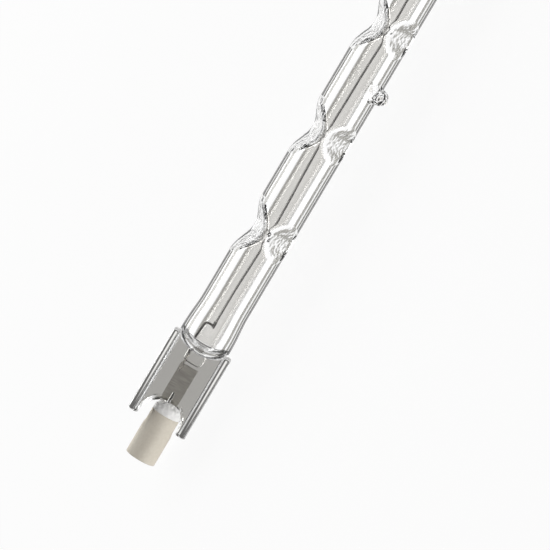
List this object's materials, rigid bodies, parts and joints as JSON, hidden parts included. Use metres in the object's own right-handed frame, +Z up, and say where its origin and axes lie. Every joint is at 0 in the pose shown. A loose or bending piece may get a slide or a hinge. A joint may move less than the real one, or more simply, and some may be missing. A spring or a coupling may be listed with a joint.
{
  "type": "double-ended halogen lamp",
  "caption": "Linear halogen lamp: a dimpled quartz tube with a straight coil on its axis, flat pinch seals with foils, and ceramic caps with recessed contacts.",
  "frame": {"origin": "on the surface that the lamp lies on, under the middle of its bounding box", "axes": "+X along the lamp from end a to end b, +Z up, +Y across, away from the side that the exhaust tip points to"},
  "size_m": [0.189, 0.0156, 0.0121],
  "materials": {
    "fused_quartz": "clear, smooth",
    "tungsten": "dark drawn wire",
    "molybdenum_foil": "rolled foil seen through quartz",
    "molybdenum_wire": "drawn wire",
    "cement": "rough, pale",
    "ceramic": "matte steatite, warm cream",
    "nickel_contact": "satin nickel"
  },
  "bodies": {
    "root": {"quartz_envelope": "fused_quartz", "filament_coil": "tungsten", "foil_a": "molybdenum_foil", "foil_b": "molybdenum_foil", "inner_lead_a": "tungsten", "inner_lead_b": "tungsten", "outer_lead_a": "molybdenum_wire", "outer_lead_b": "molybdenum_wire", "cement_a": "cement", "cement_b": "cement", "ceramic_cap_a": "ceramic", "ceramic_cap_b": "ceramic", "contact_button_a": "nickel_contact", "contact_button_b": "nickel_contact"}
  },
  "joints": []
}
